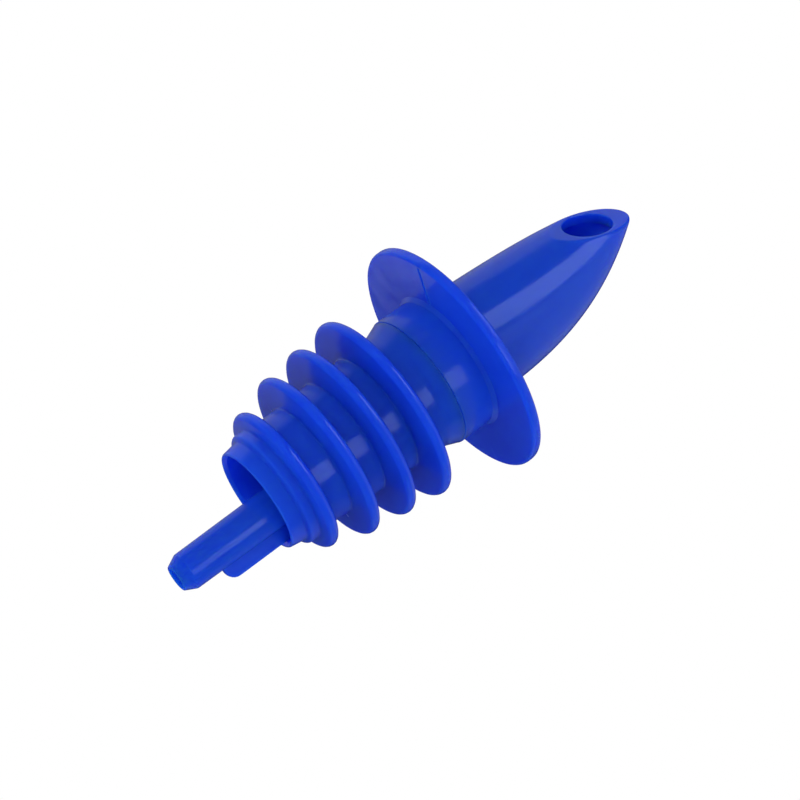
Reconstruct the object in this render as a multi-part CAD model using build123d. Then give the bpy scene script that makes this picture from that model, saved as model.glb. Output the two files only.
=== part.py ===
from build123d import *
import math
import os

# Bottle pour spout in moulded plastic, in millimetres.
# Three mouldings are pressed together: a spout with its collar, a finned stopper
# and a vent tube with its web.
# The axis is Z, with the spout up. The origin is the centre of the collar's
# underside, which rests on the bottle's lip. X points to the side that the mouth
# faces, and XZ is the spout's plane of symmetry.

# Collar and the boss below it
collar_radius = 16.0
collar_thickness = 1.4
collar_edge_chamfer = 0.35
boss_radius = 9.05
boss_height = 4.85
boss_edge_chamfer = 0.25
boss_root_round = 0.5
groove_width = 0.5
groove_depth = 0.3
groove_rim_margin = 0.6

# Spout, from its short round base to the tip
base_radius = 7.5
base_height = 3.15
spout_shift = 0.5
spout_height = 31.5
back_top_reach = 5.05
belly_top_reach = -2.65
belly_power = 2.4
side_top_reach = 1.25
side_power = 2.7
spout_wall = 1.3
spout_stations = 9
passage_stations = 13

# Slanted face and its oval mouth
face_angle = 72.0
face_tip_x = 2.65
face_land = 1.3
mouth_from_tip = 7.1
mouth_half_length = 3.55
mouth_half_width = 2.8
mouth_depth = 1.75

# Hollow spigot that carries the stopper
spigot_radius = 7.0
spigot_length = 7.2
spigot_wall = 1.6
spigot_chamfer = 0.4

# Finned stopper
stopper_top_radius = 8.3
stopper_tail_radius = 7.35
stopper_bore_radius = 6.3
stopper_top_chamfer = 0.45
first_fin_depth = 10.7
fin_pitch = 5.07
fin_radii = [12.75, 12.1, 11.4, 9.75]
fin_thickness = 1.3
fin_root_thickness = 1.9
fin_rim_chamfer = 0.4
bead_radius = 7.95
bead_depth = 28.1
bead_shoulder_radius = 7.7
bead_shoulder_depth = 29.6
mouth_edge_radius = 6.9
stopper_depth = 30.4

# Vent tube and its web
vent_radius = 2.55
vent_bore_radius = 1.45
vent_offset = 1.88
vent_angle = 150.0
vent_top = 14.0
vent_taper_depth = 30.0
vent_end_radius = 2.45
vent_depth = 43.7
vent_nose_length = 1.5
vent_nose_radius = 1.7
web_thickness = 1.2
web_depth = 38.4
web_corner_round = 1.5

# Seat ring for the vent tube, inside the spigot
seat_wall = 1.2
seat_height = 6.0

# Room between pressed pieces
press_clearance = 0.05
web_clearance = 0.1
end_clearance = 0.1

# Small overlap that joins or clears solids cleanly
overrun = 0.5


def disc(radius, bottom, top):
    """Round solid on the axis between two heights."""
    height = top - bottom
    return Pos(0, 0, bottom) * Cylinder(radius, height, align=(Align.CENTER, Align.CENTER, Align.MIN))


def spout_section(height, wall):
    """Oval section of the spout at one height, drawn in by a wall."""
    share = (height - base_height) / (spout_height - base_height)
    share = max(share, 0.0)
    back = base_radius + (back_top_reach - base_radius) * share - wall
    belly = base_radius + (belly_top_reach - base_radius) * share**belly_power - wall
    side = base_radius + (side_top_reach - base_radius) * share**side_power - wall
    middle = spout_shift + (back - belly) / 2
    return Pos(middle, 0, height) * Ellipse((back + belly) / 2, side)


def spout_sections(bottom, top, wall, stations):
    """Oval sections of the spout at even steps between two heights."""
    heights = [bottom + (top - bottom) * step / (stations - 1) for step in range(stations)]
    return [spout_section(height, wall) for height in heights]


def face_frame():
    """Plane of the slanted face: its x runs down the slope and its normal points out."""
    slope = math.radians(face_angle)
    down = (math.cos(slope), 0, -math.sin(slope))
    out = (math.sin(slope), 0, math.cos(slope))
    return Plane(origin=(face_tip_x, 0, spout_height), x_dir=down, z_dir=out)


def beyond_face(depth):
    """All that lies outside the slanted face, moved inward by a depth."""
    side = 2 * spout_height
    block = Box(side, side, side, align=(Align.CENTER, Align.CENTER, Align.MIN))
    return face_frame() * Pos(0, 0, -depth) * block


def spout_shell():
    """Hollow spout with its slanted face and oval mouth."""
    outside = disc(base_radius, 0, base_height).moved(Pos(spout_shift, 0, 0))
    outside += loft(spout_sections(base_height, spout_height, 0, spout_stations))
    outside -= beyond_face(0)
    return outside


def spout_passage():
    """Space inside the spout, closed below the slanted face apart from the mouth."""
    bore_radius = base_radius - spout_wall
    passage_top = spout_height - 2 * spout_wall
    passage = disc(bore_radius, -overrun, base_height).moved(Pos(spout_shift, 0, 0))
    passage += loft(spout_sections(base_height, passage_top, spout_wall, passage_stations), ruled=True)
    passage -= beyond_face(face_land)
    mouth = Pos(mouth_from_tip, 0, -mouth_depth) * Ellipse(mouth_half_length, mouth_half_width)
    passage += extrude(face_frame() * mouth, mouth_depth + overrun)
    return passage


def vent_axis():
    """Place of the vent tube's axis, beside the main axis."""
    return Rot(0, 0, vent_angle) * Pos(vent_offset, 0, 0)


def seat_ring():
    """Ring that holds the vent tube, grown into the spigot's wall."""
    bore = vent_radius + press_clearance
    low = -boss_height - spigot_length
    ring = disc(bore + seat_wall, low, low + seat_height)
    return vent_axis() * ring


def seat_bore():
    """Hole through the seat ring."""
    bore = vent_radius + press_clearance
    low = -boss_height - spigot_length
    return vent_axis() * disc(bore, low - overrun, low + seat_height + overrun)


def collar_plate():
    """Round collar with its two edges broken."""
    plate = disc(collar_radius, 0, collar_thickness)
    return chamfer(plate.edges().filter_by(GeomType.CIRCLE), collar_edge_chamfer)


def collar_boss():
    """Boss under the collar, with a slope at its root and its lower edge broken."""
    with BuildSketch(Plane.XZ) as outline:
        with BuildLine():
            Polyline(
                (0, 0),
                (boss_radius + boss_root_round, 0),
                (boss_radius, -boss_root_round),
                (boss_radius, -boss_height),
                (0, -boss_height),
                close=True,
            )
        make_face()
        low_corner = outline.vertices().sort_by(Axis.Y)[:2].sort_by(Axis.X)[-1]
        chamfer(low_corner, boss_edge_chamfer)
    return revolve(outline.sketch, Axis.Z)


def underside_groove():
    """Fine radial groove on the collar's underside, in the plane of symmetry."""
    start = boss_radius + boss_root_round
    length = collar_radius - groove_rim_margin - start
    groove = Box(length, groove_width, groove_depth, align=(Align.MIN, Align.CENTER, Align.MIN))
    return Pos(start, 0, 0) * groove


def spigot():
    """Round spigot below the boss, with a lead-in chamfer."""
    plug = disc(spigot_radius, -boss_height - spigot_length, -boss_height)
    lead = plug.edges().filter_by(GeomType.CIRCLE).sort_by(Axis.Z)[0]
    return chamfer(lead, spigot_chamfer)


def make_spout_body():
    """Spout, collar, boss and spigot as one moulding."""
    body = collar_plate() + collar_boss() + spigot() + spout_shell()
    low = -boss_height - spigot_length
    body -= disc(spigot_radius - spigot_wall, low - overrun, overrun)
    body -= spout_passage()
    body += seat_ring() & disc(spigot_radius - spigot_wall / 2, low, 0)
    body -= seat_bore()
    body -= underside_groove()
    return body


def stopper_radius(depth):
    """Radius of the stopper's root between its fins, at a depth below the collar."""
    share = (depth - boss_height) / (stopper_depth - boss_height)
    return stopper_top_radius + (stopper_tail_radius - stopper_top_radius) * share


def stopper_core():
    """Turned sleeve of the stopper with its rounded tail bead, before the bores."""
    bead_start = bead_depth - (bead_radius - stopper_radius(bead_depth)) - overrun
    with BuildSketch(Plane.XZ) as outline:
        with BuildLine():
            Polyline(
                (0, -stopper_depth),
                (0, -boss_height),
                (stopper_top_radius, -boss_height),
                (stopper_radius(bead_start), -bead_start),
                (bead_radius, -bead_depth),
                (bead_shoulder_radius, -bead_shoulder_depth),
                (mouth_edge_radius, -stopper_depth),
                close=True,
            )
        make_face()
        top_corner = outline.vertices().sort_by(Axis.Y)[-2:].sort_by(Axis.X)[-1]
        chamfer(top_corner, stopper_top_chamfer)
    return revolve(outline.sketch, Axis.Z)


def stopper_fin(depth, rim_radius):
    """One thin sealing fin, thicker at its root, with its rim's two edges broken."""
    root_radius = stopper_radius(depth)
    root_half = fin_root_thickness / 2
    rim_half = fin_thickness / 2
    with BuildSketch(Plane.XZ) as outline:
        with BuildLine():
            Polyline(
                (0, root_half - depth),
                (root_radius, root_half - depth),
                (rim_radius, rim_half - depth),
                (rim_radius, -rim_half - depth),
                (root_radius, -root_half - depth),
                (0, -root_half - depth),
                close=True,
            )
        make_face()
        rim_corners = outline.vertices().sort_by(Axis.X)[-2:]
        chamfer(rim_corners, fin_rim_chamfer)
    return revolve(outline.sketch, Axis.Z)


def make_finned_stopper():
    """Sleeve with four fins, a bore and a wider seat for the spigot."""
    stopper = stopper_core()
    for index, rim_radius in enumerate(fin_radii):
        stopper += stopper_fin(first_fin_depth + index * fin_pitch, rim_radius)
    seat_end = boss_height + spigot_length + end_clearance
    mouth_round = mouth_edge_radius - stopper_bore_radius
    stopper -= disc(stopper_bore_radius, -stopper_depth - overrun, 0)
    stopper -= disc(spigot_radius + press_clearance, -seat_end, 0)
    low_end = (Align.CENTER, Align.CENTER, Align.MIN)
    lead_in = Cone(mouth_edge_radius, stopper_bore_radius, mouth_round, align=low_end)
    return stopper - Pos(0, 0, -stopper_depth) * lead_in


def make_vent_tube():
    """Breather tube with a tapered nose and a flat web on its outer side."""
    nose_start = vent_depth - vent_nose_length
    with BuildSketch(Plane.XZ) as outline:
        with BuildLine():
            Polyline(
                (vent_bore_radius, vent_top),
                (vent_radius, vent_top),
                (vent_radius, -vent_taper_depth),
                (vent_end_radius, -nose_start),
                (vent_nose_radius, -vent_depth),
                (vent_bore_radius, -vent_depth),
                close=True,
            )
        make_face()
    tube = revolve(outline.sketch, Axis.Z)
    web_top = -boss_height - spigot_length - end_clearance
    web_reach = stopper_bore_radius - web_clearance - vent_offset
    web_length = web_depth + web_top
    web_start = (vent_radius + vent_bore_radius) / 2
    web = Pos(web_start, 0, -web_depth) * Box(
        web_reach - web_start, web_thickness, web_length, align=(Align.MIN, Align.CENTER, Align.MIN)
    )
    corner = web.edges().filter_by(Axis.Y).sort_by(Axis.Z)[:2].sort_by(Axis.X)[-1]
    tube += fillet(corner, web_corner_round)
    return vent_axis() * tube


def main():
    os.makedirs("parts", exist_ok=True)
    pieces = {
        "spout_body": make_spout_body(),
        "finned_stopper": make_finned_stopper(),
        "vent_tube": make_vent_tube(),
    }
    for name, piece in pieces.items():
        export_step(piece, f"parts/{name}.step")


main()
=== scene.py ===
import math
from collections import namedtuple

import bmesh
import bpy
from bpy.props import FloatProperty, FloatVectorProperty, IntProperty, PointerProperty
from bpy.types import Operator, Panel, PropertyGroup
from mathutils import Matrix, Vector


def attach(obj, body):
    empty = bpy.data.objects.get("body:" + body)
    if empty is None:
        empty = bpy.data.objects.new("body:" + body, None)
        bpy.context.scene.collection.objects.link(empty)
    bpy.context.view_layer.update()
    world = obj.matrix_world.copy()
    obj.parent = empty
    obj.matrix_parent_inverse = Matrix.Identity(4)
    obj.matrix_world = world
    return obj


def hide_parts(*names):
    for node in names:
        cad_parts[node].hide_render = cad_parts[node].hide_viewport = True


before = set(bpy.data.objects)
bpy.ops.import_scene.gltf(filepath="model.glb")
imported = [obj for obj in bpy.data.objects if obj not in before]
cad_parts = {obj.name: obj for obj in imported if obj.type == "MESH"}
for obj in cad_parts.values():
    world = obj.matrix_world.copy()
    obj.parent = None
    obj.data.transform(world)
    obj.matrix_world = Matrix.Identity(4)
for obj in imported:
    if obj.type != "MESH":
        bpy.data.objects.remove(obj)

bl_info = {
    "name": "Pour Spout",
    "version": (1, 0, 0),
    "blender": (4, 5, 0),
    "location": "3D View > Sidebar > Pour Spout",
    "description": "Builds a moulded bottle pour spout and a studio for it",
    "category": "Mesh",
}

# One millimetre, in Blender's metres
MM = 0.001

# Middle of the frame, where every object sits
ORIGIN = (0.0, 0.0, 0.0)

# Points that lie nearer than this become one
MERGE_DISTANCE = 0.002 * MM

# Edges that turn by less than this are shaded smooth
SMOOTH_ANGLE = math.radians(32.0)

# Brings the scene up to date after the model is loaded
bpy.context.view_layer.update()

# One ring of a piece: its middle, its two half widths, its tilt about Y and the width of its round
Ring = namedtuple("Ring", "x z half_x half_y tilt round", defaults=(0.0, 0.0))


def length(name, default_mm, description):
    """A size that the sidebar shows, given in millimetres."""
    default = default_mm * MM
    return FloatProperty(name=name, description=description, default=default, unit="LENGTH", precision=5)


def number_of(name, default, description, least):
    """A whole number that the sidebar shows."""
    return IntProperty(name=name, description=description, default=default, min=least)


def angle_of(name, default_degrees, description):
    """An angle that the sidebar shows, given in degrees."""
    default = math.radians(default_degrees)
    return FloatProperty(name=name, description=description, default=default, subtype="ANGLE")


def share_of(name, default, description, top=1.0):
    """A plain share or strength that the sidebar shows."""
    return FloatProperty(name=name, description=description, default=default, min=0.0, soft_max=top)


def tint(name, default, description):
    """A colour that the sidebar shows."""
    return FloatVectorProperty(
        name=name, description=description, default=default, size=3, subtype="COLOR", min=0.0, max=1.0
    )


class SpoutSizes(PropertyGroup):
    """Sizes of the spout with its collar, boss and spigot."""

    ring_points: number_of("Ring points", 128, "Points round each ring", 24)
    collar_radius: length("Collar radius", 16.0, "Radius of the round collar")
    collar_thickness: length("Collar thickness", 1.4, "Thickness of the collar")
    collar_round: length("Collar round", 0.45, "Round on the collar's two edges")
    boss_radius: length("Boss radius", 9.05, "Radius of the boss under the collar")
    boss_height: length("Boss height", 4.85, "Height of the boss under the collar")
    boss_round: length("Boss round", 0.1, "Round on the boss's lower edge")
    boss_root: length("Boss root", 0.5, "Slope where the boss meets the collar")
    groove_width: length("Groove width", 0.5, "Width of the radial groove under the collar")
    groove_depth: length("Groove depth", 0.3, "Depth of the radial groove under the collar")
    groove_margin: length("Groove margin", 0.6, "Distance from the groove's end to the rim")
    base_radius: length("Base radius", 7.5, "Radius of the spout's round base")
    base_height: length("Base height", 3.15, "Height at which the spout starts to taper")
    root_round: length("Root round", 0.4, "Round where the spout meets the collar")
    spout_shift: length("Spout shift", 0.5, "Distance from the main axis to the base's axis")
    spout_height: length("Spout height", 31.5, "Height at which the taper would end")
    back_reach: length("Back reach", 5.05, "Reach of the mouth's side at the top")
    belly_reach: length("Belly reach", -2.65, "Reach of the curved side at the top")
    belly_power: share_of("Belly power", 2.4, "How late the curved side bends over", 4.0)
    side_reach: length("Side reach", 1.25, "Half width of the spout at the top")
    side_power: share_of("Side power", 2.7, "How late the two sides draw in", 4.0)
    spout_wall: length("Spout wall", 1.3, "Thickness of the spout's wall")
    spout_rings: number_of("Spout rings", 30, "Rings up the spout", 6)
    face_angle: angle_of("Face angle", 72.0, "Slope of the slanted face")
    face_tip: length("Face tip", 2.65, "Place of the slanted face at the top")
    face_round: length("Face round", 0.24, "Round on the slanted face's outer edge")
    tip_round: length("Tip round", 0.7, "Reach of the same round at the tip")
    rim_rings: number_of("Rim rings", 7, "Rings over the round of the face's edge", 2)
    mouth_from_tip: length("Mouth from tip", 7.1, "Distance of the mouth's middle down the face")
    mouth_half_length: length("Mouth half length", 3.55, "Half of the mouth's length")
    mouth_half_width: length("Mouth half width", 2.8, "Half of the mouth's width")
    mouth_round: length("Mouth round", 0.14, "Round on the mouth's edge")
    spigot_radius: length("Spigot radius", 7.0, "Radius of the spigot inside the stopper")
    spigot_length: length("Spigot length", 7.2, "Length of the spigot below the boss")
    spigot_wall: length("Spigot wall", 1.6, "Thickness of the spigot's wall")
    spigot_chamfer: length("Spigot chamfer", 0.4, "Lead-in at the spigot's end")
    seat_wall: length("Seat wall", 1.2, "Thickness of the ring that holds the vent tube")
    seat_height: length("Seat height", 6.0, "Height of the ring that holds the vent tube")


class StopperSizes(PropertyGroup):
    """Sizes of the finned stopper."""

    top_radius: length("Top radius", 8.3, "Radius that the sleeve's taper has under the boss")
    shoulder_radius: length("Shoulder radius", 9.0, "Radius of the flare that meets the boss")
    shoulder_depth: length("Shoulder depth", 2.0, "Height of that flare")
    tail_radius: length("Tail radius", 7.35, "Radius of the sleeve at the tail")
    bore_radius: length("Bore radius", 6.3, "Radius of the bore")
    top_round: length("Top round", 0.2, "Round on the sleeve's upper edge")
    first_fin_depth: length("First fin depth", 10.7, "Depth of the first fin below the collar")
    fin_pitch: length("Fin pitch", 5.07, "Distance from fin to fin")
    fin_thickness: length("Fin thickness", 1.3, "Thickness of a fin at its rim")
    fin_root_thickness: length("Fin root", 1.9, "Thickness of a fin at its root")
    fin_root_round: length("Fin root round", 0.22, "Round where a fin meets the sleeve")
    bead_radius: length("Bead radius", 7.9, "Radius of the bead at the tail")
    bead_depth: length("Bead depth", 28.05, "Depth at which the bead's band ends")
    bead_round: length("Bead round", 0.3, "Round on the bead's lower edge")
    nose_radius: length("Nose radius", 6.9, "Radius of the thin nose at the tail end")
    depth: length("Depth", 30.4, "Depth of the tail end below the collar")
    clearance: length("Clearance", 0.05, "Room between the sleeve and the spigot")
    end_clearance: length("End clearance", 0.1, "Room below the spigot's end")


class VentSizes(PropertyGroup):
    """Sizes of the vent tube and its web."""

    radius: length("Radius", 2.55, "Outer radius of the tube")
    bore_radius: length("Bore radius", 1.45, "Radius of the tube's bore")
    offset: length("Offset", 1.88, "Distance of the tube's axis from the main axis")
    angle: angle_of("Angle", 150.0, "Side on which the tube lies")
    top: length("Top", 14.0, "Height of the tube's upper end, inside the spout")
    taper_depth: length("Taper depth", 30.0, "Depth at which the tube starts to taper")
    end_radius: length("End radius", 2.45, "Radius above the nose")
    depth: length("Depth", 43.7, "Depth of the tube's lower end")
    nose_length: length("Nose length", 1.5, "Length of the tapered nose")
    nose_radius: length("Nose radius", 1.7, "Radius at the end of the nose")
    web_thickness: length("Web thickness", 1.2, "Thickness of the flat web")
    web_draft: share_of("Web draft", 0.42, "Share of the thickness left at the web's outer edge")
    web_depth: length("Web depth", 38.4, "Depth of the web's lower end")
    web_round: length("Web round", 1.5, "Round on the web's lower corner")
    web_clearance: length("Web clearance", 0.1, "Room between the web and the bore")


# Radii of the four fins in millimetres, from the boss down
FIN_RADII = (12.75, 12.1, 11.4, 9.75)

# Share of the collar's radius at which its flat faces have a ring
COLLAR_RING = 0.7

# Share of the tip's round that lies on the curved side
TIP_ROUND_BELOW = 0.8

# Reach of the ring round the mouth, in widths of the mouth's round
MOUTH_RING = 1.1

# Share of a fin's half thickness that the round of its rim takes
FIN_RIM_FULLNESS = 0.97

# Points round the narrow pieces
SEAT_POINTS = 64
VENT_POINTS = 96

# Halvings that find where the spout meets a plane
HALVINGS = 50


def sizes():
    """The three groups of sizes in the scene."""
    scene = bpy.context.scene
    return scene.pour_spout, scene.pour_stopper, scene.pour_vent


# Modelling steps


def clear_selection():
    """Leaves edit mode and deselects every object."""
    if bpy.context.mode != "OBJECT":
        bpy.ops.object.mode_set(mode="OBJECT")
    bpy.ops.object.select_all(action="DESELECT")


def turned(radius, height, rounding=0.0, shift=0.0):
    """A level ring about the main axis, or about an axis shifted along X."""
    return Ring(shift, height, radius, radius, 0.0, rounding)


def turn_ring(angle, ring):
    """Turns the selected ring about Y through its middle."""
    bpy.ops.transform.rotate(value=-angle, orient_axis="Y", center_override=(ring.x, 0.0, ring.z))


def carry_ring(old, new):
    """Takes the selected ring from one place, size and tilt to the next."""
    if old.tilt:
        turn_ring(-old.tilt, old)
    growth = (new.half_x / old.half_x, new.half_y / old.half_y, 1.0)
    bpy.ops.transform.resize(value=growth, center_override=(old.x, 0.0, old.z))
    if new.tilt:
        turn_ring(new.tilt, old)
    bpy.ops.transform.translate(value=(new.x - old.x, 0.0, new.z - old.z))


def ring_piece(name, rings, ring_points):
    """Extrudes one circle through a closed row of rings, and rounds the ones that ask for it."""
    clear_selection()
    first = rings[0]
    bpy.ops.mesh.primitive_circle_add(vertices=ring_points, radius=first.half_x, location=ORIGIN)
    piece = bpy.context.object
    piece.name = name
    piece.data.name = name
    widest = max(ring.round for ring in rings)
    bpy.ops.object.mode_set(mode="EDIT")
    bpy.ops.mesh.select_mode(type="EDGE")
    bpy.ops.mesh.select_all(action="SELECT")
    carry_ring(turned(first.half_x, 0.0), first)
    old = first
    for new in rings[1:]:
        bpy.ops.mesh.extrude_edges_move()
        carry_ring(old, new)
        bpy.ops.transform.edge_bevelweight(value=-1.0)
        bpy.ops.transform.edge_bevelweight(value=new.round / widest)
        old = new
    bpy.ops.mesh.extrude_edges_move()
    carry_ring(old, first)
    bpy.ops.transform.edge_bevelweight(value=-1.0)
    bpy.ops.mesh.select_all(action="SELECT")
    bpy.ops.mesh.remove_doubles(threshold=MERGE_DISTANCE)
    bpy.ops.mesh.normals_make_consistent(inside=False)
    bpy.ops.object.mode_set(mode="OBJECT")
    round_edges(piece, widest, "WEIGHT")
    return piece


def round_edges(piece, width, limit, segments=4):
    """Rounds a piece's edges with a bevel that is applied at once."""
    bpy.context.view_layer.objects.active = piece
    bpy.ops.object.modifier_add(type="BEVEL")
    bevel = piece.modifiers[-1]
    bevel.width = width
    bevel.segments = segments
    bevel.limit_method = limit
    bevel.use_clamp_overlap = False
    bpy.ops.object.modifier_apply(modifier=bevel.name)


def cut_or_join(piece, tool, operation):
    """Cuts a tool out of a piece or joins it on, and deletes the tool."""
    clear_selection()
    piece.select_set(True)
    bpy.context.view_layer.objects.active = piece
    bpy.ops.object.modifier_add(type="BOOLEAN")
    boolean = piece.modifiers[-1]
    boolean.object = tool
    boolean.operation = operation
    boolean.solver = "EXACT"
    bpy.ops.object.modifier_apply(modifier=boolean.name)
    bpy.data.objects.remove(tool)
    bpy.ops.object.mode_set(mode="EDIT")
    bpy.ops.mesh.select_all(action="SELECT")
    bpy.ops.mesh.remove_doubles(threshold=MERGE_DISTANCE)
    bpy.ops.mesh.dissolve_degenerate(threshold=MERGE_DISTANCE)
    bpy.ops.object.mode_set(mode="OBJECT")


def finish_piece(piece, node, plastic):
    """Smooths a piece's shading, puts it in the place of its node and gives it its plastic."""
    clear_selection()
    piece.select_set(True)
    bpy.context.view_layer.objects.active = piece
    bpy.ops.object.shade_smooth_by_angle(angle=SMOOTH_ANGLE)
    bpy.ops.object.modifier_add(type="WEIGHTED_NORMAL")
    weighted = piece.modifiers[-1]
    weighted.keep_sharp = True
    bpy.ops.object.modifier_apply(modifier=weighted.name)
    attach(piece, "root")
    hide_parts(node)
    piece.data.materials.append(plastic)


def solid_box(name, low, high):
    """A closed box between two corners, with its place in its mesh."""
    clear_selection()
    middle = (Vector(low) + Vector(high)) / 2
    bpy.ops.mesh.primitive_cube_add(size=1.0, location=ORIGIN)
    box = bpy.context.object
    box.name = name
    bpy.ops.object.mode_set(mode="EDIT")
    bpy.ops.mesh.select_all(action="SELECT")
    bpy.ops.transform.resize(value=tuple(Vector(high) - Vector(low)), center_override=ORIGIN)
    bpy.ops.transform.translate(value=tuple(middle))
    bpy.ops.object.mode_set(mode="OBJECT")
    return box


def select_where(piece, belongs):
    """Selects the faces in face mode, or the edges in edge mode, whose middle belongs."""
    bpy.ops.mesh.select_all(action="DESELECT")
    mesh = bmesh.from_edit_mesh(piece.data)
    by_face = bpy.context.tool_settings.mesh_select_mode[2]
    for part in mesh.faces if by_face else mesh.edges:
        middle = sum((vertex.co for vertex in part.verts), Vector()) / len(part.verts)
        part.select_set(belongs(middle))
    bmesh.update_edit_mesh(piece.data)


def to_vent_axis(piece, vent):
    """Moves a mesh from the main axis to the vent tube's axis."""
    place = Matrix.Rotation(vent.angle, 4, "Z") @ Matrix.Translation((vent.offset, 0.0, 0.0))
    piece.data.transform(place)


# Spout with its collar, boss and spigot


def line_points(spout, share, wall):
    """Where the mouth's side and the curved side lie at one share of the height."""
    back = spout.spout_shift + spout.base_radius + (spout.back_reach - spout.base_radius) * share - wall
    belly = spout.base_radius + (spout.belly_reach - spout.base_radius) * share**spout.belly_power - wall
    return back, spout.spout_shift - belly


def height_at(spout, share):
    """Height at one share of the taper."""
    return spout.base_height + (spout.spout_height - spout.base_height) * share


def share_at_face(spout, side, wall, depth):
    """Share of the height at which one side meets the slanted face, or a plane below it."""
    low, high = 0.0, 1.0
    for _ in range(HALVINGS):
        share = (low + high) / 2
        across = line_points(spout, share, wall)[side] - spout.face_tip
        upward = height_at(spout, share) - spout.spout_height
        beyond = math.sin(spout.face_angle) * across + math.cos(spout.face_angle) * upward
        if beyond > -depth:
            high = share
        else:
            low = share
    return (low + high) / 2


def half_width(spout, x, z, wall):
    """Half of the spout's width at a point of the plane of symmetry."""
    share = (z - spout.base_height) / (spout.spout_height - spout.base_height)
    back, belly = line_points(spout, share, wall)
    side = spout.base_radius + (spout.side_reach - spout.base_radius) * share**spout.side_power - wall
    off_middle = (x - (back + belly) / 2) / ((back - belly) / 2)
    return side * math.sqrt(1 - off_middle**2)


def ring_at(spout, back_share, belly_share, wall):
    """Tilted ring through one point of each side."""
    back = Vector((line_points(spout, back_share, wall)[0], height_at(spout, back_share)))
    belly = Vector((line_points(spout, belly_share, wall)[1], height_at(spout, belly_share)))
    ring = ring_through(back, belly, 0.0)
    return ring._replace(half_y=half_width(spout, ring.x, ring.z, wall))


def ring_through(back, belly, half_y):
    """Tilted ring between two points of the plane of symmetry."""
    middle = (back + belly) / 2
    across = back - belly
    return Ring(middle.x, middle.y, across.length / 2, half_y, math.atan2(-across.y, across.x))


def ring_ends(ring):
    """The two points where a ring crosses the plane of symmetry."""
    reach = Vector((math.cos(ring.tilt), -math.sin(ring.tilt))) * ring.half_x
    middle = Vector((ring.x, ring.z))
    return middle + reach, middle - reach


def spout_rings(spout, wall, depth, back_drop=0.0, belly_drop=0.0):
    """Rings up the spout that tilt from level to the slanted face, or stop a drop below it."""
    taper = spout.spout_height - spout.base_height
    back_end = share_at_face(spout, 0, wall, depth) - back_drop / taper
    belly_end = share_at_face(spout, 1, wall, depth) - belly_drop / taper
    ways = [step / spout.spout_rings for step in range(spout.spout_rings + 1)]
    return [ring_at(spout, back_end * way, belly_end * way, wall) for way in ways]


def bent(way, corners):
    """Value of a curve that runs from the first corner to the third and leans toward the second."""
    weights = (1 - way) ** 2, 2 * way * (1 - way), way**2
    return sum((weight * corner for weight, corner in zip(weights, corners)), 0 * corners[0])


def rounded_rim(spout, below):
    """Rings of the round between the spout's outside and its slanted face, widest at the tip."""
    rim = spout_rings(spout, 0.0, 0.0)[-1]
    back, tip = ring_ends(rim)
    slope = (tip - back).normalized()
    inner_ends = back + slope * spout.face_round, tip - slope * spout.tip_round
    inner = ring_through(*inner_ends, rim.half_y - spout.face_round)
    backs, bellies, half_widths = zip(*((*ring_ends(ring), ring.half_y) for ring in (below, rim, inner)))
    ways = [step / spout.rim_rings for step in range(1, spout.rim_rings + 1)]
    return [ring_through(bent(way, backs), bent(way, bellies), bent(way, half_widths)) for way in ways]


def widened(ring, width):
    """The same ring, wider all round and without a round."""
    return ring._replace(half_x=ring.half_x + width, half_y=ring.half_y + width, round=0.0)


def mouth_ring(spout, depth, rounding=0.0):
    """Ring of the oval mouth, at a depth below the slanted face."""
    slope = spout.face_angle
    x = spout.face_tip + math.cos(slope) * spout.mouth_from_tip - math.sin(slope) * depth
    z = spout.spout_height - math.sin(slope) * spout.mouth_from_tip - math.cos(slope) * depth
    return Ring(x, z, spout.mouth_half_length, spout.mouth_half_width, slope, rounding)


def spout_body_rings(spout):
    """Every ring of the spout body, once round its wall."""
    bore = spout.base_radius - spout.spout_wall
    spigot_bore = spout.spigot_radius - spout.spigot_wall
    spigot_end = -spout.boss_height - spout.spigot_length
    step_height = -0.5 * MM
    outside = spout_rings(spout, 0.0, 0.0, spout.face_round, TIP_ROUND_BELOW * spout.tip_round)
    outside += rounded_rim(spout, outside[-1])
    inside = spout_rings(spout, spout.spout_wall, spout.spout_wall)
    return [
        turned(COLLAR_RING * spout.collar_radius, spout.collar_thickness),
        turned(spout.base_radius, spout.collar_thickness, spout.root_round, spout.spout_shift),
        *outside,
        widened(mouth_ring(spout, 0.0), MOUTH_RING * spout.mouth_round),
        mouth_ring(spout, 0.0, spout.mouth_round),
        mouth_ring(spout, spout.spout_wall),
        *inside[::-1],
        turned(bore, step_height, 0.0, spout.spout_shift),
        turned(spigot_bore, step_height),
        turned(spigot_bore, spigot_end),
        turned(spout.spigot_radius - spout.spigot_chamfer, spigot_end),
        turned(spout.spigot_radius, spigot_end + spout.spigot_chamfer),
        turned(spout.spigot_radius, -spout.boss_height),
        turned(spout.boss_radius, -spout.boss_height, spout.boss_round),
        turned(spout.boss_radius, -spout.boss_root),
        turned(spout.boss_radius + spout.boss_root, 0.0),
        turned(COLLAR_RING * spout.collar_radius, 0.0),
        turned(spout.collar_radius, 0.0, spout.collar_round),
        turned(spout.collar_radius, spout.collar_thickness, spout.collar_round),
    ]


def seat_rings(spout, vent, clearance):
    """Rings of the seat that holds the vent tube."""
    bore = vent.radius + clearance
    low = -spout.boss_height - spout.spigot_length
    high = low + spout.seat_height
    upper_round = 0.05 * MM
    return [
        turned(bore, low),
        turned(bore + spout.seat_wall, low),
        turned(bore + spout.seat_wall, high, upper_round),
        turned(bore, high),
    ]


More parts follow.
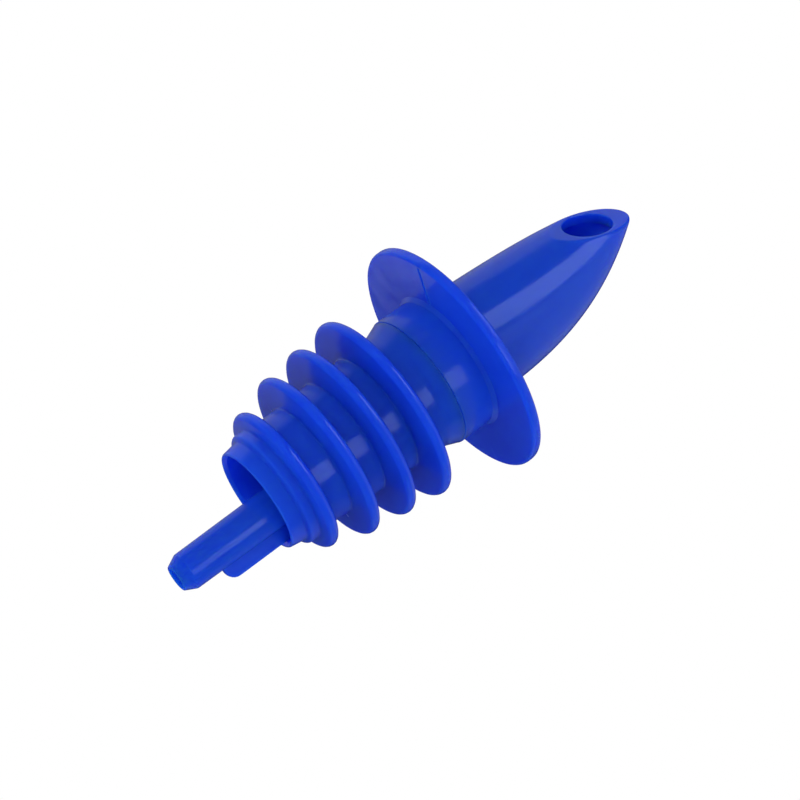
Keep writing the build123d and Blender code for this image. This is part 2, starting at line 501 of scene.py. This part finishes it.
class MESH_OT_pour_spout_body(Operator):
    """Spout with its slanted mouth, collar, boss and spigot, in one moulding"""

    bl_idname = "mesh.pour_spout_body"
    bl_label = "Spout Body"

    def execute(self, context):
        spout, stopper, vent = sizes()
        body = ring_piece("spout_moulding", spout_body_rings(spout), spout.ring_points)
        groove_start = spout.boss_radius + spout.boss_root
        groove_end = spout.collar_radius - spout.groove_margin
        groove = solid_box(
            "groove",
            (groove_start, -spout.groove_width / 2, -spout.groove_depth),
            (groove_end, spout.groove_width / 2, spout.groove_depth),
        )
        cut_or_join(body, groove, "DIFFERENCE")
        seat = ring_piece("seat", seat_rings(spout, vent, stopper.clearance), SEAT_POINTS)
        to_vent_axis(seat, vent)
        cut_or_join(body, seat, "UNION")
        plastic = moulded_plastic("spout_plastic", context.scene.pour_look, pigment_scale=70.0)
        finish_piece(body, "spout_body", plastic)
        return {"FINISHED"}


# Finned stopper


def sleeve_radius(spout, stopper, depth):
    """Radius of the sleeve between its fins, at a depth below the collar."""
    share = (depth - spout.boss_height) / (stopper.depth - spout.boss_height)
    return stopper.top_radius + (stopper.tail_radius - stopper.top_radius) * share


def tail_rings(stopper):
    """Lower edge of the bead's band, and the narrower nose with the bore's lead-in."""
    step = 0.3 * MM
    step_round = 0.5 * step
    lip = 0.12 * MM
    lip_width = 2.2 * lip
    return [
        turned(stopper.bead_radius, -stopper.bead_depth, stopper.bead_round),
        turned(stopper.nose_radius + step, -stopper.bead_depth - step, step_round),
        turned(stopper.nose_radius, lip - stopper.depth, lip),
        turned(stopper.nose_radius - lip_width, -stopper.depth, lip),
    ]


def stopper_rings(spout, stopper):
    """Every ring of the stopper, once round its section."""
    seat_radius = spout.spigot_radius + stopper.clearance
    seat_end = -spout.boss_height - spout.spigot_length - stopper.end_clearance
    lead_in = 0.5 * MM
    half_rim = stopper.fin_thickness / 2
    half_root = stopper.fin_root_thickness / 2
    rim_round = FIN_RIM_FULLNESS * half_rim
    root_round = stopper.fin_root_round
    flare_round = 2.0 * root_round
    shoulder_end = spout.boss_height + stopper.shoulder_depth
    rings = [
        turned(seat_radius, -spout.boss_height),
        turned(stopper.shoulder_radius, -spout.boss_height, stopper.top_round),
        turned(sleeve_radius(spout, stopper, shoulder_end), -shoulder_end, flare_round),
    ]
    for index, radius_mm in enumerate(FIN_RADII):
        depth = stopper.first_fin_depth + index * stopper.fin_pitch
        rings += [
            turned(sleeve_radius(spout, stopper, depth - half_root), half_root - depth, root_round),
            turned(radius_mm * MM, half_rim - depth, rim_round),
            turned(radius_mm * MM, -half_rim - depth, rim_round),
            turned(sleeve_radius(spout, stopper, depth + half_root), -half_root - depth, root_round),
        ]
    last_root = rings.pop()
    rings += [
        turned(stopper.bead_radius, last_root.z, root_round),
        *tail_rings(stopper),
        turned(stopper.bore_radius, -stopper.depth + lead_in),
        turned(stopper.bore_radius, seat_end),
        turned(seat_radius, seat_end),
    ]
    return rings


class MESH_OT_pour_stopper(Operator):
    """Sleeve with four round sealing fins and a bead at its tail"""

    bl_idname = "mesh.pour_stopper"
    bl_label = "Finned Stopper"

    def execute(self, context):
        spout, stopper, _ = sizes()
        piece = ring_piece("stopper_moulding", stopper_rings(spout, stopper), spout.ring_points)
        plastic = moulded_plastic("stopper_plastic", context.scene.pour_look, wear=0.5)
        finish_piece(piece, "finned_stopper", plastic)
        return {"FINISHED"}


# Vent tube


def vent_rings(vent):
    """Every ring of the vent tube, once round its wall."""
    nose_start = vent.nose_length - vent.depth
    edge_round = 0.1 * MM
    return [
        turned(vent.bore_radius, 0.0),
        turned(vent.bore_radius, vent.top, edge_round),
        turned(vent.radius, vent.top, edge_round),
        turned(vent.radius, -vent.taper_depth),
        turned(vent.end_radius, nose_start, edge_round),
        turned(vent.nose_radius, -vent.depth, edge_round),
        turned(vent.bore_radius, -vent.depth, edge_round),
    ]


def web_solid(spout, stopper, vent):
    """Flat web with a round lower corner, on the main axis's X side."""
    top = -spout.boss_height - spout.spigot_length - stopper.end_clearance
    reach = stopper.bore_radius - vent.web_clearance - vent.offset
    start = (vent.radius + vent.bore_radius) / 2
    half = vent.web_thickness / 2
    edge_round = 0.12 * MM
    near = 0.01 * MM
    web = solid_box("web", (start, -half, -vent.web_depth), (reach, half, top))
    bpy.ops.object.mode_set(mode="EDIT")
    bpy.ops.mesh.select_mode(type="FACE")
    select_where(web, lambda place: abs(place.x - reach) < near)
    bpy.ops.transform.resize(value=(1.0, vent.web_draft, 1.0), center_override=ORIGIN)
    bpy.ops.mesh.select_mode(type="EDGE")
    select_where(web, lambda place: abs(place.x - reach) < near and abs(place.z + vent.web_depth) < near)
    bpy.ops.mesh.bevel(offset=vent.web_round, segments=8, affect="EDGES")
    bpy.ops.object.mode_set(mode="OBJECT")
    round_edges(web, edge_round, "ANGLE", segments=3)
    return web


class MESH_OT_pour_vent(Operator):
    """Breather tube with a tapered nose and a flat web"""

    bl_idname = "mesh.pour_vent"
    bl_label = "Vent Tube"

    def execute(self, context):
        spout, stopper, vent = sizes()
        tube = ring_piece("vent_moulding", vent_rings(vent), VENT_POINTS)
        cut_or_join(tube, web_solid(spout, stopper, vent), "UNION")
        to_vent_axis(tube, vent)
        marks = {"flow": 0.5, "wear": 0.1, "waves": 0.05 * MM}
        plastic = moulded_plastic("vent_plastic", context.scene.pour_look, **marks)
        finish_piece(tube, "vent_tube", plastic)
        return {"FINISHED"}


# Looks


class PlasticLook(PropertyGroup):
    """Colour and surface of the moulded plastic."""

    color: tint("Plastic colour", (0.0076, 0.066, 0.63), "Royal blue of the moulded plastic")
    deep_color: tint("Deep colour", (0.0064, 0.057, 0.58), "Where the pigment is a little denser")
    worn_color: tint("Worn colour", (0.022, 0.092, 0.66), "Edges that handling has rubbed pale")
    gloss_tint: tint("Gloss tint", (0.5, 0.64, 1.0), "Colour of what the gloss mirrors face on")
    roughness: share_of("Roughness", 0.14, "Roughness of the gloss as moulded")
    glow_depth: length("Light depth", 5.0, "How far light travels inside the plastic")


# How far red, green and blue light travel, as shares of the light depth
GLOW_SHARES = (0.18, 0.3, 1.0)


def fill_inputs(tree, made, inputs):
    """Gives a node's inputs a value or a link each."""
    for key, value in inputs.items():
        if isinstance(value, bpy.types.NodeSocket):
            tree.links.new(value, made.inputs[key])
        else:
            made.inputs[key].default_value = value


def node(tree, kind, inputs=None, **settings):
    """Adds a node, sets it up and fills its inputs."""
    made = tree.nodes.new(kind)
    for key, value in settings.items():
        setattr(made, key, value)
    fill_inputs(tree, made, inputs or {})
    return made


def opaque(color):
    """A colour with full alpha, as a socket takes it."""
    return (*color, 1.0)


def spread(tree, value, low, high, to_low=0.0, to_high=1.0):
    """Spreads part of a value's range over another range, with soft ends."""
    inputs = {"Value": value, "From Min": low, "From Max": high, "To Min": to_low, "To Max": to_high}
    return node(tree, "ShaderNodeMapRange", inputs, interpolation_type="SMOOTHSTEP").outputs["Result"]


def math_node(tree, operation, first, second):
    """Joins two values with one sum."""
    return node(tree, "ShaderNodeMath", {0: first, 1: second}, operation=operation).outputs[0]


def noise(tree, place, scale, detail, stretch=None, turn=(0.0, 0.0, 0.0)):
    """Noise over the piece, drawn out where a stretch is given."""
    if stretch:
        drawn_out = {"Vector": place, "Rotation": turn, "Scale": stretch}
        place = node(tree, "ShaderNodeMapping", drawn_out).outputs[0]
    grain = {"Vector": place, "Scale": scale, "Detail": detail}
    return node(tree, "ShaderNodeTexNoise", grain).outputs["Fac"]


def blend(tree, share, first, second):
    """Colour between two colours."""
    return node(tree, "ShaderNodeMix", {0: share, 6: first, 7: second}, data_type="RGBA").outputs[2]


def moulded_surface():
    """Node group with the marks of moulding and handling, shared by the three plastics."""
    name = "Moulded Surface"
    if name in bpy.data.node_groups:
        return bpy.data.node_groups[name]
    group = bpy.data.node_groups.new(name, "ShaderNodeTree")
    for socket in ("Color", "Deep Color", "Worn Color"):
        group.interface.new_socket(socket, in_out="INPUT", socket_type="NodeSocketColor")
    for socket in ("Roughness", "Pigment Scale", "Flow", "Wear", "Scratches", "Waves"):
        group.interface.new_socket(socket, in_out="INPUT", socket_type="NodeSocketFloat")
    group.interface.new_socket("Color", in_out="OUTPUT", socket_type="NodeSocketColor")
    group.interface.new_socket("Roughness", in_out="OUTPUT", socket_type="NodeSocketFloat")
    group.interface.new_socket("Height", in_out="OUTPUT", socket_type="NodeSocketFloat")
    given = group.nodes.new("NodeGroupInput").outputs
    place = group.nodes.new("ShaderNodeTexCoord").outputs["Object"]

    # Pigment in soft clouds, and flow lines along the axis
    clouds = noise(group, place, scale=given["Pigment Scale"], detail=3.0)
    clouds = spread(group, clouds, low=0.35, high=0.7)
    flow = noise(group, place, scale=420.0, detail=3.0, stretch=(1.0, 1.0, 0.12))
    flow = math_node(group, "MULTIPLY", spread(group, flow, low=0.45, high=0.75), given["Flow"])
    deep = node(group, "ShaderNodeMath", {0: clouds, 1: flow}, operation="ADD", use_clamp=True).outputs[0]
    pigment = blend(group, deep, given["Color"], given["Deep Color"])

    # Wear on the edges that stand proud, broken up by noise
    edges = group.nodes.new("ShaderNodeNewGeometry").outputs["Pointiness"]
    proud = spread(group, edges, low=0.51, high=0.62)
    broken = spread(group, noise(group, place, scale=350.0, detail=3.0), low=0.42, high=0.62)
    wear = math_node(group, "MULTIPLY", math_node(group, "MULTIPLY", proud, broken), given["Wear"])
    color = blend(group, wear, pigment, given["Worn Color"])

    # Hairline scratches in two directions
    along = noise(group, place, scale=900.0, detail=1.0, stretch=(1.0, 1.0, 0.02), turn=(0.5, 0.2, 0.0))
    across = noise(group, place, scale=800.0, detail=1.0, stretch=(0.02, 1.0, 1.0), turn=(0.0, 0.4, 0.9))
    along = spread(group, along, low=0.69, high=0.76)
    across = spread(group, across, low=0.69, high=0.76)
    lines = math_node(group, "MULTIPLY", math_node(group, "MAXIMUM", along, across), given["Scratches"])

    # Roughness: smudges, scratches and worn edges are duller
    most_smudge = 0.07
    most_wear = 0.22
    smudge = noise(group, place, scale=150.0, detail=3.0)
    smudge = spread(group, smudge, low=0.4, high=0.75, to_high=most_smudge)
    duller = math_node(group, "MULTIPLY", math_node(group, "ADD", lines, wear), most_wear)
    roughness = math_node(group, "ADD", math_node(group, "ADD", smudge, duller), given["Roughness"])

    # Height in metres: slow waves of the shrinking wall, a fine peel, and the scratches
    fine_depth = 0.004 * MM
    waves = math_node(group, "MULTIPLY", noise(group, place, scale=170.0, detail=1.0), given["Waves"])
    peel = math_node(group, "MULTIPLY", noise(group, place, scale=1400.0, detail=2.0), fine_depth)
    cut = math_node(group, "MULTIPLY", lines, -fine_depth)
    height = math_node(group, "ADD", math_node(group, "ADD", waves, peel), cut)
    node(group, "NodeGroupOutput", {"Color": color, "Roughness": roughness, "Height": height})
    return group


def moulded_plastic(name, look, **values):
    """Gloss plastic as it comes from the mould, with its own marks."""
    material = bpy.data.materials.new(name)
    material.use_nodes = True
    tree = material.node_tree
    shader = tree.nodes["Principled BSDF"]
    marks = node(tree, "ShaderNodeGroup", node_tree=moulded_surface())
    settings = {
        "Color": opaque(look.color),
        "Deep Color": opaque(look.deep_color),
        "Worn Color": opaque(look.worn_color),
        "Roughness": look.roughness,
        "Pigment Scale": 80.0,
        "Flow": 0.3,
        "Wear": 0.4,
        "Scratches": 0.2,
        "Waves": 0.08 * MM,
    }
    settings.update({key.replace("_", " ").title(): value for key, value in values.items()})
    fill_inputs(tree, marks, settings)
    relief = {"Height": marks.outputs["Height"], "Strength": 1.0, "Distance": 1.0}
    surface = {
        "Base Color": marks.outputs["Color"],
        "Roughness": marks.outputs["Roughness"],
        "Normal": node(tree, "ShaderNodeBump", relief).outputs["Normal"],
        "Specular IOR Level": 1.0,
        "Specular Tint": opaque(look.gloss_tint),
        "Subsurface Weight": 1.0,
        "Subsurface Radius": GLOW_SHARES,
        "Subsurface Scale": look.glow_depth,
    }
    fill_inputs(tree, shader, surface)
    return material


# Studio


class StudioSizes(PropertyGroup):
    """Camera, lamps and floor."""

    camera_place: FloatVectorProperty(
        name="Camera",
        description="Where the camera stands",
        default=(0.17949, 0.18644, -0.09368),
        subtype="TRANSLATION",
    )
    lens: FloatProperty(
        name="Lens", description="Focal length on a 36 mm sensor", default=99.4, unit="CAMERA"
    )
    floor_depth: length("Floor depth", 250.0, "Height of the collar over the floor")
    room_light: share_of("Room light", 0.53, "Strength of the even light from all round", 2.0)


# The way the camera looks and its upward way, from the fit to the photograph
CAMERA_AHEAD = Vector((-0.6595, -0.6830, 0.3140))
CAMERA_UP = Vector((0.7092, -0.4270, 0.5610))

# Width of the sensor in the camera's own millimetres, and the nearest distance that it sees
SENSOR_WIDTH = 36.0
NEAREST_SEEN = 10.0 * MM

# Softboxes: azimuth and elevation of the middle, width and height in degrees, brightness, distance
SOFTBOXES = {
    "window_softbox": (35.5, 41.0, 34.0, 31.0, 1.3, 1500.0 * MM),
    "strip_softbox": (74.5, 14.5, 30.0, 13.0, 1.0, 1500.0 * MM),
    "line_softbox": (-33.0, 24.0, 55.0, 3.0, 0.45, 1500.0 * MM),
    "left_fill": (-10.0, -15.0, 40.0, 40.0, 2.0, 300.0 * MM),
    "right_fill": (102.0, -15.0, 40.0, 40.0, 2.25, 300.0 * MM),
    "low_left_fill": (-35.0, -42.0, 40.0, 40.0, 0.9, 260.0 * MM),
    "low_right_fill": (127.0, -42.0, 40.0, 40.0, 0.8, 260.0 * MM),
}

# Pale walls that the gloss mirrors: azimuth from and to, elevation from and to, soft edge, brightness
PALE_WALLS = {
    "side_wall": (250.0, 314.0, -18.0, 62.0, 10.0, 0.38),
    "side_wall_edge": (229.0, 318.0, -34.0, 62.0, 5.0, 0.2),
    "low_side_wall": (228.2, 230.4, -26.0, -18.6, 0.7, 0.45),
    "back_wall": (58.0, 196.0, 20.0, 70.0, 8.0, 0.36),
    "low_wall": (143.0, 196.0, -28.0, 14.0, 5.0, 0.19),
}

# Brightness of the rest of the room in the gloss
DARK_ROOM = 0.05

# Floor: radius, points round it, and the light that it adds before the camera to look white
FLOOR_RADIUS = 3000.0 * MM
FLOOR_POINTS = 96
FLOOR_LIFT = 0.24

FLOOR_GREY = (0.8, 0.8, 0.8, 1.0)
WHITE = (1.0, 1.0, 1.0, 1.0)


def toward(azimuth, elevation):
    """Direction at an azimuth from the X axis and an elevation, in degrees."""
    turn = math.radians(azimuth)
    rise = math.radians(elevation)
    across = math.cos(rise)
    return Vector((across * math.cos(turn), across * math.sin(turn), math.sin(rise)))


def add_camera(studio):
    """Camera at the photograph's angle."""
    bpy.ops.object.camera_add()
    camera = bpy.context.object
    back = -CAMERA_AHEAD.normalized()
    right = CAMERA_UP.cross(back).normalized()
    turn = Matrix((right, back.cross(right), back)).transposed().to_4x4()
    camera.matrix_world = Matrix.Translation(studio.camera_place) @ turn
    camera.data.lens = studio.lens
    camera.data.sensor_width = SENSOR_WIDTH
    camera.data.clip_start = NEAREST_SEEN
    bpy.context.scene.camera = camera


def add_softbox(name, azimuth, elevation, width, height, brightness, distance):
    """Rectangular lamp that faces the object and spans a width and height in degrees."""
    away = toward(azimuth, elevation)
    bpy.ops.object.light_add(type="AREA", location=away * distance)
    lamp = bpy.context.object
    lamp.name = name
    lamp.rotation_euler = away.to_track_quat("Z", "Y").to_euler()
    lamp.data.shape = "RECTANGLE"
    lamp.data.size = 2 * distance * math.tan(math.radians(width / 2))
    lamp.data.size_y = 2 * distance * math.tan(math.radians(height / 2))
    lamp.data.energy = math.pi * lamp.data.size * lamp.data.size_y * brightness
    lamp.visible_camera = False
    lamp.visible_glossy = not name.endswith("_fill")


def within(tree, value, low, high, edge):
    """One between two limits, and nought beyond them, with soft edges."""
    off_middle = math_node(tree, "SUBTRACT", value, (low + high) / 2)
    off_middle = math_node(tree, "ABSOLUTE", off_middle, 0.0)
    half = (high - low) / 2
    return spread(tree, off_middle, half - edge, half + edge, to_low=1.0, to_high=0.0)


def add_world(studio):
    """White to the camera, an even room light, and a dark room with pale walls in the gloss."""
    world = bpy.data.worlds.new("studio_room")
    bpy.context.scene.world = world
    world.use_nodes = True
    tree = world.node_tree
    rays = node(tree, "ShaderNodeLightPath").outputs

    # The direction is turned about and back, so that its azimuth counts from 0 to 360 degrees
    place = node(tree, "ShaderNodeTexCoord").outputs["Generated"]
    place = node(tree, "ShaderNodeVectorMath", {0: place, "Scale": -1.0}, operation="SCALE").outputs[0]
    place = node(tree, "ShaderNodeSeparateXYZ", {0: place}).outputs
    azimuth = math_node(tree, "DEGREES", math_node(tree, "ARCTAN2", place["Y"], place["X"]), 0.0)
    azimuth = math_node(tree, "ADD", azimuth, 180.0)
    elevation = math_node(tree, "DEGREES", math_node(tree, "ARCSINE", place["Z"], 0.0), 0.0)
    elevation = math_node(tree, "MULTIPLY", elevation, -1.0)

    # The brightest wall in each direction is what the gloss mirrors
    mirrored = DARK_ROOM
    for azimuth_low, azimuth_high, low, high, edge, brightness in PALE_WALLS.values():
        across = within(tree, azimuth, azimuth_low, azimuth_high, edge)
        upward = within(tree, elevation, low, high, edge)
        wall = math_node(tree, "MULTIPLY", math_node(tree, "MULTIPLY", across, upward), brightness)
        mirrored = math_node(tree, "MAXIMUM", wall, mirrored)
    room = {0: rays["Is Glossy Ray"], 2: studio.room_light, 3: mirrored}
    room = node(tree, "ShaderNodeMix", room).outputs[0]
    seen = math_node(tree, "MAXIMUM", rays["Is Camera Ray"], rays["Is Transmission Ray"])
    strength = node(tree, "ShaderNodeMix", {0: seen, 2: room, 3: 1.0}).outputs[0]
    fill_inputs(tree, tree.nodes["Background"], {"Color": WHITE, "Strength": strength})


def floor_material():
    """Pale floor, white to the camera where no shadow falls, and not seen from below."""
    material = bpy.data.materials.new("pale_floor")
    material.use_nodes = True
    tree = material.node_tree
    shader = tree.nodes["Principled BSDF"]
    seen = node(tree, "ShaderNodeLightPath").outputs["Is Camera Ray"]
    surface = {
        "Base Color": FLOOR_GREY,
        "Roughness": 0.9,
        "Specular IOR Level": 0.0,
        "Emission Color": WHITE,
        "Emission Strength": math_node(tree, "MULTIPLY", seen, FLOOR_LIFT),
    }
    fill_inputs(tree, shader, surface)
    below = node(tree, "ShaderNodeNewGeometry").outputs["Backfacing"]
    clear = node(tree, "ShaderNodeBsdfTransparent").outputs["BSDF"]
    either = node(tree, "ShaderNodeMixShader", {"Fac": below, 1: shader.outputs["BSDF"], 2: clear})
    tree.links.new(either.outputs["Shader"], tree.nodes["Material Output"].inputs["Surface"])
    return material


def add_floor(studio):
    """Round floor below the object."""
    place = (0.0, 0.0, -studio.floor_depth)
    bpy.ops.mesh.primitive_circle_add(
        vertices=FLOOR_POINTS, radius=FLOOR_RADIUS, fill_type="NGON", location=place
    )
    floor = bpy.context.object
    floor.name = "floor"
    floor.data.materials.append(floor_material())
    floor.visible_glossy = False


class SCENE_OT_pour_studio(Operator):
    """Camera at the photograph's angle, soft lamps, pale floor and white surroundings"""

    bl_idname = "scene.pour_studio"
    bl_label = "Studio"

    def execute(self, context):
        studio = context.scene.pour_studio
        clear_selection()
        add_camera(studio)
        for name, box in SOFTBOXES.items():
            add_softbox(name, *box)
        add_world(studio)
        add_floor(studio)
        context.scene.view_settings.view_transform = "Standard"
        return {"FINISHED"}


class VIEW3D_PT_pour_spout(Panel):
    """Lists the steps that build the pour spout"""

    bl_label = "Pour Spout"
    bl_idname = "VIEW3D_PT_pour_spout"
    bl_space_type = "VIEW_3D"
    bl_region_type = "UI"
    bl_category = "Pour Spout"

    def draw(self, context):
        column = self.layout.column(align=True)
        for operator in OPERATORS:
            column.operator(operator.bl_idname)
        for group in (context.scene.pour_look, context.scene.pour_studio):
            for field in group.bl_rna.properties.keys():
                if field not in {"rna_type", "name"}:
                    column.prop(group, field)


OPERATORS = (MESH_OT_pour_spout_body, MESH_OT_pour_stopper, MESH_OT_pour_vent, SCENE_OT_pour_studio)
PROPERTY_GROUPS = {
    "pour_spout": SpoutSizes,
    "pour_stopper": StopperSizes,
    "pour_vent": VentSizes,
    "pour_look": PlasticLook,
    "pour_studio": StudioSizes,
}


def register():
    """Adds the sizes to the scene, and the operators and the panel to the sidebar."""
    for name, group in PROPERTY_GROUPS.items():
        bpy.utils.register_class(group)
        setattr(bpy.types.Scene, name, PointerProperty(type=group))
    for operator in OPERATORS:
        bpy.utils.register_class(operator)
    bpy.utils.register_class(VIEW3D_PT_pour_spout)


def unregister():
    """Takes away what register has added."""
    bpy.utils.unregister_class(VIEW3D_PT_pour_spout)
    for operator in reversed(OPERATORS):
        bpy.utils.unregister_class(operator)
    for name, group in PROPERTY_GROUPS.items():
        delattr(bpy.types.Scene, name)
        bpy.utils.unregister_class(group)


def main():
    """Builds every piece and the studio."""
    register()
    bpy.ops.mesh.pour_spout_body()
    bpy.ops.mesh.pour_stopper()
    bpy.ops.mesh.pour_vent()
    bpy.ops.scene.pour_studio()


if __name__ == "__main__":
    main()
